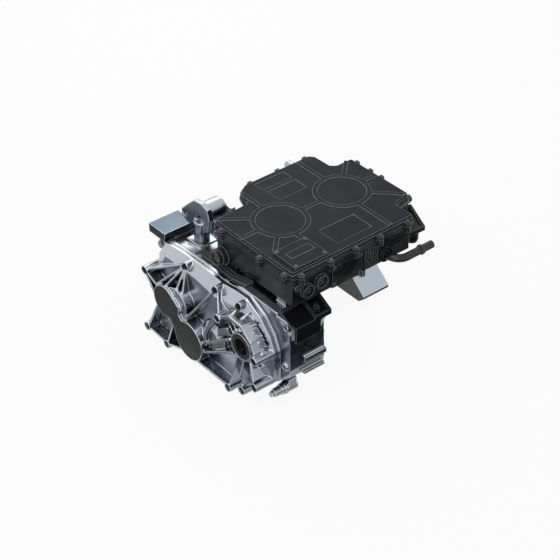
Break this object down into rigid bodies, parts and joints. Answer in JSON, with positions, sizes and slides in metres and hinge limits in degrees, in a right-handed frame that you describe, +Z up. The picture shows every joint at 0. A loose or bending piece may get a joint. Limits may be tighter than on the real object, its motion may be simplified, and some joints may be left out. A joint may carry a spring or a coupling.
{
  "type": "electric car motor",
  "caption": "Electric car drive unit: motor, two-stage reduction gearbox with differential, and flat power inverter on top, in one casing with mounts.",
  "frame": {"origin": "centre of the left output bore's mouth, on the outer face of its seal", "axes": "+X along the motor axis from the gear cover to the motor's rear; +Z up, out of the inverter lid; the cable sockets face -Y"},
  "size_m": [0.54, 0.516, 0.368],
  "materials": {
    "cast_aluminium": "as cast, fine grain",
    "machined_aluminium": "machined, satin",
    "lid_paint": "matt dark blue-grey powder coat",
    "case_paint": "satin black coat",
    "black_steel": "black coated steel",
    "screw_steel": "zinc plated",
    "gear_steel": "ground teeth",
    "bearing_steel": "polished",
    "carrier_iron": "cast, machined seats",
    "core_steel": "stacked sheets",
    "copper": "bare and enamelled copper",
    "magnet": "coated sintered magnet",
    "seal_rubber": "oil seal rubber",
    "hose_rubber": "satin black hose",
    "socket_plastic": "moulded glass-filled nylon",
    "board": "circuit board",
    "module_plastic": "moulded case"
  },
  "bodies": {
    "unit": {"actuator_cap": "machined_aluminium", "actuator_housing": "cast_aluminium", "bearing_outer_races": "bearing_steel", "control_board": "board", "coolant_outlet": "machined_aluminium", "coolant_pipe": "hose_rubber", "cover_bolts": "screw_steel", "dc_capacitor": "module_plastic", "front_bracket": "black_steel", "gear_case": "cast_aluminium", "gear_cover": "cast_aluminium", "hv_sockets": "socket_plastic", "inverter_case": "case_paint", "inverter_lid": "lid_paint", "inverter_screws": "screw_steel", "left_mount_bracket": "machined_aluminium", "lid_gasket": "seal_rubber", "lv_connector": "socket_plastic", "motor_housing": "cast_aluminium", "motor_rear_cover": "cast_aluminium", "oil_fill_plug": "screw_steel", "oil_pump": "machined_aluminium", "output_seals": "seal_rubber", "park_pawl_pin": "gear_steel", "phase_busbars": "copper", "power_module": "module_plastic", "rear_foot_bracket": "machined_aluminium", "resolver_stator": "core_steel", "right_bracket": "black_steel", "service_cover": "case_paint", "side_panel": "case_paint", "signal_connectors": "socket_plastic", "stator_core": "core_steel", "stator_winding": "copper", "unit_bolts": "screw_steel"},
    "rotor": {"rotor_shaft": "gear_steel", "input_pinion": "gear_steel", "park_gear": "gear_steel", "rotor_core": "core_steel", "rotor_magnets": "magnet", "rotor_end_plates": "machined_aluminium", "resolver_rotor": "core_steel", "rotor_bearing_inner_races": "bearing_steel", "rotor_bearing_balls": "bearing_steel"},
    "intermediate": {"intermediate_shaft": "gear_steel", "intermediate_gear": "gear_steel", "intermediate_pinion": "gear_steel", "intermediate_bearing_inner_races": "bearing_steel", "intermediate_bearing_balls": "bearing_steel"},
    "differential": {"differential_carrier": "carrier_iron", "ring_gear": "gear_steel", "cross_pin": "gear_steel", "differential_bearing_inner_races": "bearing_steel", "differential_bearing_balls": "bearing_steel"},
    "left_side_gear": {"side_gear_left": "gear_steel"},
    "right_side_gear": {"side_gear_right": "gear_steel"},
    "front_spider": {"spider_gear_front": "gear_steel"},
    "rear_spider": {"spider_gear_rear": "gear_steel"},
    "park_lever": {"park_shaft": "gear_steel"},
    "pawl": {"park_pawl": "gear_steel"}
  },
  "joints": [
    {"name": "rotor_spin", "type": "hinge", "parent": "unit", "child": "rotor", "pos_m": [0.1, 0.2272, -0.0141], "axis": [1, 0, 0], "continuous": true},
    {"name": "intermediate_spin", "type": "hinge", "parent": "unit", "child": "intermediate", "pos_m": [0.1, 0.10836, -0.04378], "axis": [1, 0, 0], "continuous": true},
    {"name": "differential_spin", "type": "hinge", "parent": "unit", "child": "differential", "pos_m": [0.1, 0, 0], "axis": [1, 0, 0], "continuous": true},
    {"name": "left_side_gear_spin", "type": "hinge", "parent": "differential", "child": "left_side_gear", "pos_m": [0.093, 0, 0], "axis": [1, 0, 0], "continuous": true},
    {"name": "right_side_gear_spin", "type": "hinge", "parent": "differential", "child": "right_side_gear", "pos_m": [0.093, 0, 0], "axis": [1, 0, 0], "continuous": true},
    {"name": "front_spider_spin", "type": "hinge", "parent": "differential", "child": "front_spider", "pos_m": [0.093, 0, 0], "axis": [0, 1, 0], "continuous": true},
    {"name": "rear_spider_spin", "type": "hinge", "parent": "differential", "child": "rear_spider", "pos_m": [0.093, 0, 0], "axis": [0, 1, 0], "continuous": true},
    {"name": "park_lever_turn", "type": "hinge", "parent": "unit", "child": "park_lever", "pos_m": [0.107, 0.271, 0.1], "axis": [0, 0, 1], "range_deg": [0, 18]},
    {"name": "pawl_swing", "type": "hinge", "parent": "unit", "child": "pawl", "pos_m": [0.075, 0.292, 0.026], "axis": [1, 0, 0], "range_deg": [0, 2.25]}
  ],
  "couplings": [
    {"joint": "intermediate_spin", "follows": "rotor_spin", "ratio": -0.38028},
    {"joint": "differential_spin", "follows": "rotor_spin", "ratio": 0.12478},
    {"joint": "right_side_gear_spin", "follows": "left_side_gear_spin", "ratio": -1},
    {"joint": "front_spider_spin", "follows": "left_side_gear_spin", "ratio": -1.6},
    {"joint": "rear_spider_spin", "follows": "left_side_gear_spin", "ratio": 1.6},
    {"joint": "pawl_swing", "follows": "park_lever_turn", "ratio": 0.1222}
  ]
}
